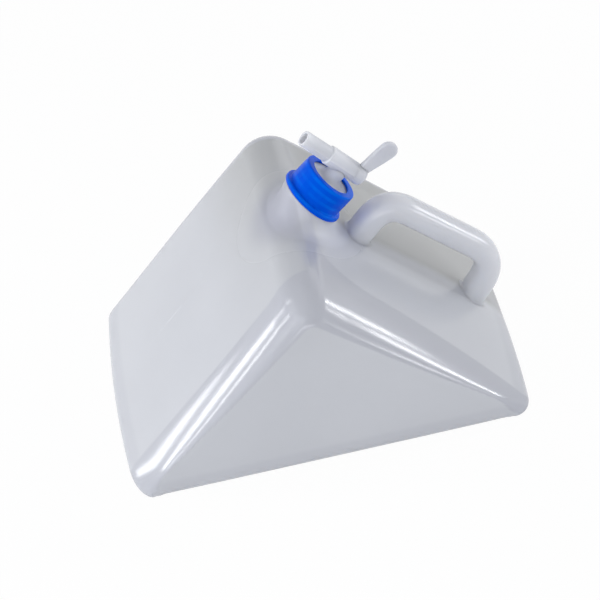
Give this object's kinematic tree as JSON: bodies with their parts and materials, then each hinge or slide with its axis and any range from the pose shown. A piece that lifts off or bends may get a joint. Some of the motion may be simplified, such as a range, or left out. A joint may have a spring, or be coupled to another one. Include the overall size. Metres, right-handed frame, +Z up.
{
  "type": "collapsible water carrier",
  "caption": "Folding film box for water with a moulded carrying handle, a screw cap and a lever tap, stored folded with its lower half pushed up inside its upper half.",
  "frame": {"origin": "middle of the rim's footprint, on the surface that the folded carrier stands on", "axes": "+X to the slope that carries the handle and the cap, Y along the ridge, +Z up"},
  "size_m": [0.3155, 0.2444, 0.2105],
  "materials": {
    "film": "translucent milky polyethylene with a soft gloss",
    "blue_cap": "translucent blue moulding",
    "white_tap": "milky moulding with a soft gloss",
    "washer": "soft matt"
  },
  "bodies": {
    "root": {"upper_half": "film", "threaded_neck": "film", "carry_handle": "film"},
    "lower_half": {"lower_half_walls": "film", "lower_half_crown": "film"},
    "washer": {"neck_washer": "washer"},
    "ring": {"cap_ring": "blue_cap"},
    "tap": {"tap_body": "white_tap"},
    "key": {"tap_key": "white_tap"}
  },
  "joints": [
    {"name": "unfold", "type": "slide", "parent": "root", "child": "lower_half", "axis": [0, 0, -1], "range_m": [0, 0.27], "deforming": ["lower_half_walls"]},
    {"name": "cap_lift", "type": "slide", "parent": "root", "child": "washer", "axis": [0.7716, 0, 0.6361], "range_m": [0, 0.018]},
    {"name": "cap_turn", "type": "hinge", "parent": "washer", "child": "ring", "pos_m": [0.01195, 0, 0.14333], "axis": [0.7716, 0, 0.6361], "range_deg": [0, 1080]},
    {"name": "spout_swivel", "type": "hinge", "parent": "washer", "child": "tap", "pos_m": [0.01195, 0, 0.14333], "axis": [0.7716, 0, 0.6361], "range_deg": [-180, 180]},
    {"name": "tap_turn", "type": "hinge", "parent": "tap", "child": "key", "pos_m": [0.05107, 0, 0.17558], "axis": [0.6361, 0, -0.7716], "range_deg": [-90, 90]}
  ],
  "couplings": [
    {"joint": "cap_lift", "follows": "cap_turn", "m_per_rad": 0.00095493}
  ]
}
